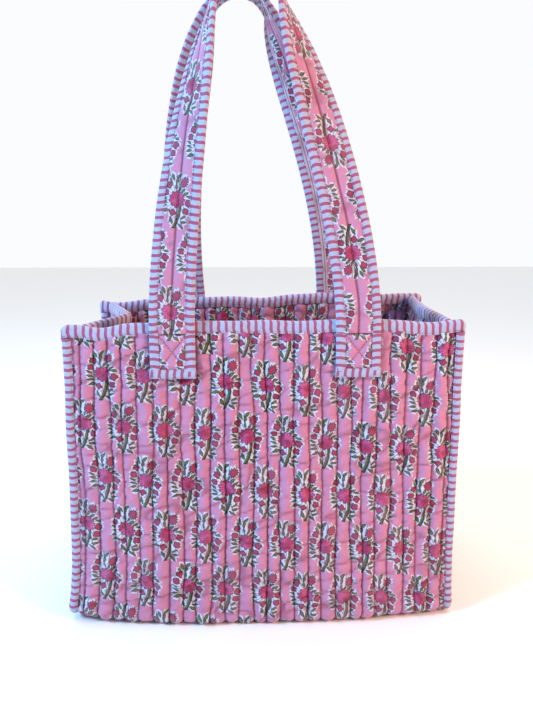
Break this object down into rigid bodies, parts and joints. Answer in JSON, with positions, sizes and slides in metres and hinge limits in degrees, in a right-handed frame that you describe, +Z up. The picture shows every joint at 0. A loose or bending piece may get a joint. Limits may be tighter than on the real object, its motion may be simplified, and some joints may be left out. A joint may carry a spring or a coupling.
{
  "type": "quilted tote bag",
  "caption": "Open quilted cotton tote bag with padded floral print panels, striped tape on rim, seams and straps, and shoulder straps that fold down outwards.",
  "frame": {"origin": "middle of the base, on the surface the bag stands on", "axes": "+X across the bag to the viewer's right, -Y out of the front panel, +Z up to the grips"},
  "size_m": [0.4038, 0.2018, 0.6531],
  "materials": {
    "printed_cloth": "matte block-printed cotton",
    "lining_cloth": "matte block-printed cotton",
    "wadding": "matte cotton batting",
    "striped_tape": "matte striped cotton tape",
    "quilting_thread": "cotton thread",
    "box_thread": "cotton thread"
  },
  "bodies": {
    "bag": {"front_print": "printed_cloth", "front_wadding": "wadding", "front_lining": "lining_cloth", "front_quilting": "quilting_thread", "back_print": "printed_cloth", "back_wadding": "wadding", "back_lining": "lining_cloth", "back_quilting": "quilting_thread", "left_side_print": "printed_cloth", "left_side_wadding": "wadding", "left_side_lining": "lining_cloth", "left_side_quilting": "quilting_thread", "right_side_print": "printed_cloth", "right_side_wadding": "wadding", "right_side_lining": "lining_cloth", "right_side_quilting": "quilting_thread", "base_print": "printed_cloth", "base_wadding": "wadding", "base_lining": "lining_cloth", "base_quilting": "quilting_thread", "rim_binding": "striped_tape", "left_seam_binding": "striped_tape", "right_seam_binding": "striped_tape", "front_left_strap_end": "printed_cloth", "front_right_strap_end": "printed_cloth", "back_left_strap_end": "printed_cloth", "back_right_strap_end": "printed_cloth", "front_left_end_binding": "striped_tape", "front_right_end_binding": "striped_tape", "back_left_end_binding": "striped_tape", "back_right_end_binding": "striped_tape", "front_left_box_stitch": "box_thread", "front_right_box_stitch": "box_thread", "back_left_box_stitch": "box_thread", "back_right_box_stitch": "box_thread"},
    "front_handle": {"front_strap_print": "printed_cloth", "front_strap_wadding": "wadding", "front_strap_backing": "lining_cloth", "front_strap_binding": "striped_tape"},
    "back_handle": {"back_strap_print": "printed_cloth", "back_strap_wadding": "wadding", "back_strap_backing": "lining_cloth", "back_strap_binding": "striped_tape"}
  },
  "joints": [
    {"name": "front_handle_fold", "type": "hinge", "parent": "bag", "child": "front_handle", "pos_m": [0, -0.08306, 0.30591], "axis": [1, 0, 0], "range_deg": [0, 154]},
    {"name": "back_handle_fold", "type": "hinge", "parent": "bag", "child": "back_handle", "pos_m": [0, 0.08306, 0.30591], "axis": [-1, 0, 0], "range_deg": [0, 154]}
  ]
}
